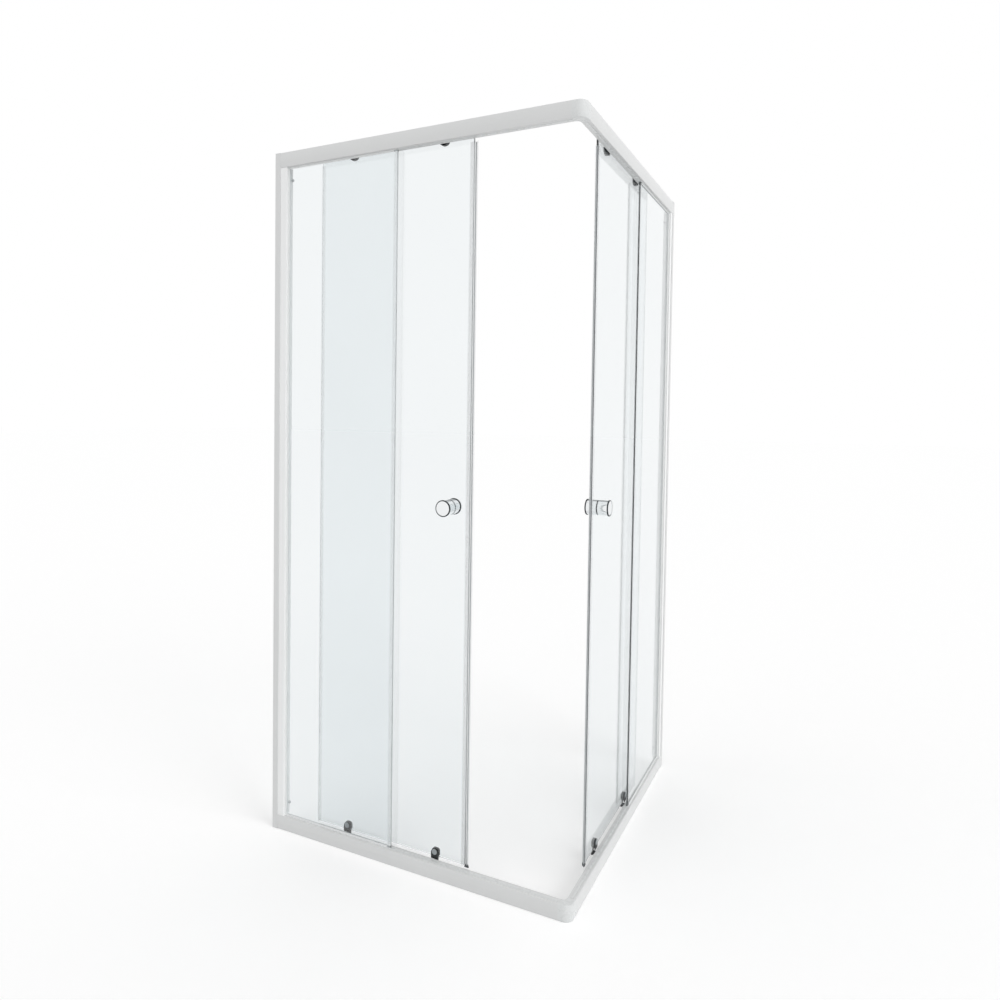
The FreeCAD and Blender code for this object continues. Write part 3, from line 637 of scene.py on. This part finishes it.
class SHOWER_OT_springs(bpy.types.Operator):
    """Fold the strip springs of the bottom rollers"""
    bl_idname = "shower.springs"
    bl_label = "Fold springs"

    def execute(self, context):
        steel = folded_spring_steel()
        width, strip = details().spring_width, details().spring_strip
        legs, travel = details().spring_legs, details().spring_travel
        for side in SIDES:
            dress(steel, f"{side}_roller_springs")
            low, high = left_box(side, "roller_springs")
            rise = (high.z - low.z - strip) / legs
            for end in ("rear", "lead"):
                slide_low, slide_high = left_box(side, f"{end}_slide")
                along = (slide_low.x + slide_high.x) / 2
                shape = bmesh.new()
                corner = shape.verts.new((along + width / 2, low.y, low.z + strip / 2))
                for leg in range(legs):
                    corner = bmesh.ops.extrude_vert_indiv(shape, verts=[corner])["verts"][0]
                    step = Vector((width * (-1) ** (leg + 1), 0, rise))
                    bmesh.ops.translate(shape, vec=step, verts=[corner])
                folds = [vertex for vertex in shape.verts if len(vertex.link_edges) == 2]
                bmesh.ops.bevel(shape, geom=folds, offset=strip, offset_type="OFFSET", segments=4,
                                profile=0.5, affect="VERTICES", material=-1)
                wide = bmesh.ops.extrude_edge_only(shape, edges=shape.edges[:])["geom"]
                bmesh.ops.translate(shape, vec=(0, high.y - low.y, 0),
                                    verts=[item for item in wide if isinstance(item, bmesh.types.BMVert)])
                bmesh.ops.recalc_face_normals(shape, faces=shape.faces)
                bmesh.ops.solidify(shape, geom=shape.faces[:], thickness=strip)
                bmesh.ops.recalc_face_normals(shape, faces=shape.faces)
                fit_box(shape, Vector((along - width / 2, low.y, low.z)),
                        Vector((along + width / 2, high.y, high.z)))
                bmesh.ops.transform(shape, matrix=side_matrix(side), verts=shape.verts)
                spring = finish_piece(shape, f"{side}_{end}_roller_spring", steel, f"{side}_door")
                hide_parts(f"{side}_roller_springs")
                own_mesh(spring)
        return {"FINISHED"}


class SHOWER_OT_magnet_strips(bpy.types.Operator):
    """Lay a magnet strip behind the slanting face of each leading seal"""
    bl_idname = "shower.magnet_strips"
    bl_label = "Add magnet strips"

    def execute(self, context):
        ferrite = bonded_ferrite()
        thickness, width = details().magnet_thickness, details().magnet_width
        for side in SIDES:
            low, high = left_box(side, "lead_seal")
            depth = high.y - low.y
            # The seal's face slants by 45 degrees, which makes the way to the strip longer along X.
            behind = (details().magnet_backing + thickness / 2) * math.sqrt(2)
            middle = Vector((high.x - depth / 2 - behind, (low.y + high.y) / 2, (low.z + high.z) / 2))
            half = (high.z - low.z) / 2 - details().magnet_inset
            shape = box_shape((-thickness / 2, -width / 2, -half), (thickness / 2, width / 2, half))
            round_edges(shape, shape.edges[:], details().magnet_rounding, segments=3, clamp_overlap=True)
            turned = Matrix.Translation(middle) @ Matrix.Rotation(math.radians(45), 4, "Z")
            bmesh.ops.transform(shape, matrix=side_matrix(side) @ turned, verts=shape.verts)
            finish_piece(shape, f"{side}_magnet_strip", ferrite, f"{side}_door")
        return {"FINISHED"}


class SHOWER_OT_seal_feet(bpy.types.Operator):
    """Close the foot of each leading seal with a plug"""
    bl_idname = "shower.seal_feet"
    bl_label = "Add seal feet"

    def execute(self, context):
        plug = moulded_pvc_plug()
        wall, height, length = details().foot_wall, details().foot_height, details().foot_length
        for side in SIDES:
            low, high = left_box(side, "lead_seal")
            shape = box_shape((high.x - length, low.y - wall, low.z),
                              (high.x, high.y + wall, low.z + height))
            cut_off(shape, (high.x + wall, low.y - wall, low.z), beyond=(1, 1, 0))
            round_edges(shape, shape.edges[:], details().foot_rounding, segments=2, clamp_overlap=True)
            bmesh.ops.transform(shape, matrix=side_matrix(side), verts=shape.verts)
            finish_piece(shape, f"{side}_seal_foot", plug, f"{side}_door")
        return {"FINISHED"}


def shown_directly(tree):
    """One where the camera, a mirror or a pane looks straight at the surface, else zero."""
    rays = add_node(tree, "ShaderNodeLightPath")
    seen = add_node(tree, "ShaderNodeMath", {"operation": "MAXIMUM"},
                    {0: (rays, "Is Camera Ray"), 1: (rays, "Is Glossy Ray")})
    return add_node(tree, "ShaderNodeMath", {"operation": "MAXIMUM"},
                    {0: (seen, "Value"), 1: (rays, "Is Transmission Ray")})


def build_world(ambient):
    """White surroundings that light the object with the strength of ambient."""
    world = bpy.data.worlds.new("studio")
    bpy.context.scene.world = world
    world.use_nodes = True
    tree = world.node_tree
    tree.nodes.clear()
    seen = shown_directly(tree)
    level = add_node(tree, "ShaderNodeMapRange", {"To Min": ambient, "To Max": 1.0},
                     {"Value": (seen, "Value")})
    light = add_node(tree, "ShaderNodeBackground", {"Color": opaque((1, 1, 1))},
                     {"Strength": (level, "Result")})
    add_node(tree, "ShaderNodeOutputWorld", None, {"Surface": (light, "Background")})


def build_floor(lift):
    """A plain pale floor that keeps the shadow of the object. The lift shows its lit part white."""
    reach, drop = 40.0, 0.2 * MM
    shape = bmesh.new()
    bmesh.ops.create_grid(shape, x_segments=1, y_segments=1, size=reach)
    mesh = bpy.data.meshes.new("floor")
    shape.to_mesh(mesh)
    shape.free()
    floor = bpy.data.objects.new("floor", mesh)
    floor.location.z = -drop
    bpy.context.scene.collection.objects.link(floor)
    material, tree = new_material("painted_floor")
    seen = shown_directly(tree)
    # Matt white paint. What the camera sees of it is lifted to white, and the shadow stays.
    paint = add_node(tree, "ShaderNodeBsdfDiffuse", {"Color": opaque(hex_to_linear("#F6F6F6"))})
    strength = add_node(tree, "ShaderNodeMath", {"operation": "MULTIPLY", 1: lift},
                        {0: (seen, "Value")})
    glow = add_node(tree, "ShaderNodeEmission", {"Color": opaque((1, 1, 1))},
                    {"Strength": (strength, "Value")})
    lifted = add_node(tree, "ShaderNodeAddShader", None, {0: (paint, "BSDF"), 1: (glow, "Emission")})
    add_node(tree, "ShaderNodeOutputMaterial", None, {"Surface": (lifted, "Shader")})
    mesh.materials.append(material)


def bearing(azimuth, elevation):
    """The direction of an azimuth, which runs from -Y towards +X, and an elevation, in degrees."""
    a, e = math.radians(azimuth), math.radians(elevation)
    return Vector((math.sin(a) * math.cos(e), -math.cos(a) * math.cos(e), math.sin(e)))


def add_sun(name, azimuth, elevation, strength, spread):
    """A soft distant lamp. No pane mirrors its disc, from its front or from its back."""
    data = bpy.data.lights.new(name, "SUN")
    data.energy = strength
    data.angle = math.radians(spread)
    lamp = bpy.data.objects.new(name, data)
    lamp.rotation_euler = bearing(azimuth, elevation).to_track_quat("Z", "Y").to_euler()
    lamp.visible_glossy = False
    lamp.visible_transmission = False
    bpy.context.scene.collection.objects.link(lamp)


def frame_corner():
    """The outer corner of the enclosure on the floor."""
    low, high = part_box("bottom_corner_connector")
    return Vector((high[0], low[1], 0))


def place_camera(place, azimuth, elevation, roll, focal_px, centre_px, frame_px):
    """Set a camera by its angles and by its focal length and centre in a square frame's pixels."""
    back = bearing(azimuth, elevation)
    level = Vector((0, 0, 1)).cross(back).normalized()
    upright = back.cross(level)
    turn = math.radians(roll)
    right = level * math.cos(turn) + upright * math.sin(turn)
    up = upright * math.cos(turn) - level * math.sin(turn)
    data = bpy.data.cameras.new("camera")
    data.lens = focal_px * data.sensor_width / frame_px
    data.shift_x = (frame_px / 2 - centre_px[0]) / frame_px
    data.shift_y = (centre_px[1] - frame_px / 2) / frame_px
    camera = bpy.data.objects.new("camera", data)
    pose = Matrix((right, up, back)).transposed().to_4x4()
    camera.matrix_world = Matrix.Translation(place) @ pose
    bpy.context.scene.collection.objects.link(camera)
    bpy.context.scene.camera = camera


class SHOWER_OT_stage(bpy.types.Operator):
    """Set the floor, the soft light and the camera"""
    bl_idname = "shower.stage"
    bl_label = "Set stage"

    def execute(self, context):
        context.scene.view_settings.view_transform = "Standard"
        build_world(ambient=0.6)
        build_floor(lift=0.228)
        add_sun("key", azimuth=78, elevation=28, strength=1.15, spread=40)
        add_sun("fill", azimuth=-35, elevation=40, strength=0.3, spread=60)
        # The camera was fitted to the corners of the enclosure in the photograph.
        from_corner = Vector((0.5475, -1.5664, 1.151))
        place_camera(frame_corner() + from_corner, azimuth=26.0, elevation=1.9, roll=0.83,
                     focal_px=744.8, centre_px=(492.3, 440.8), frame_px=1000)
        return {"FINISHED"}


OPERATORS = (
    SHOWER_OT_extrusions, SHOWER_OT_mouldings, SHOWER_OT_panes, SHOWER_OT_seals,
    SHOWER_OT_gaskets, SHOWER_OT_glazing_beads, SHOWER_OT_knobs, SHOWER_OT_rollers,
    SHOWER_OT_fixings, SHOWER_OT_springs, SHOWER_OT_magnet_strips, SHOWER_OT_seal_feet,
    SHOWER_OT_stage,
)


class SHOWER_PT_panel(bpy.types.Panel):
    """Lists the finishes, sizes and steps that dress the enclosure"""
    bl_label = "Shower enclosure"
    bl_idname = "SHOWER_PT_panel"
    bl_space_type = "VIEW_3D"
    bl_region_type = "UI"
    bl_category = "Shower"

    def draw(self, context):
        for group in (context.scene.shower_finishes, context.scene.shower_details):
            for name in group.__annotations__:
                self.layout.prop(group, name)
        for operator in OPERATORS:
            self.layout.operator(operator.bl_idname)


CLASSES = (ShowerFinishes, ShowerDetails) + OPERATORS + (SHOWER_PT_panel,)


def register():
    for cls in CLASSES:
        bpy.utils.register_class(cls)
    bpy.types.Scene.shower_finishes = bpy.props.PointerProperty(type=ShowerFinishes)
    bpy.types.Scene.shower_details = bpy.props.PointerProperty(type=ShowerDetails)


def unregister():
    del bpy.types.Scene.shower_details
    del bpy.types.Scene.shower_finishes
    for cls in reversed(CLASSES):
        bpy.utils.unregister_class(cls)


def main():
    register()
    for operator in OPERATORS:
        group, name = operator.bl_idname.split(".")
        getattr(getattr(bpy.ops, group), name)()


if __name__ == "__main__":
    main()
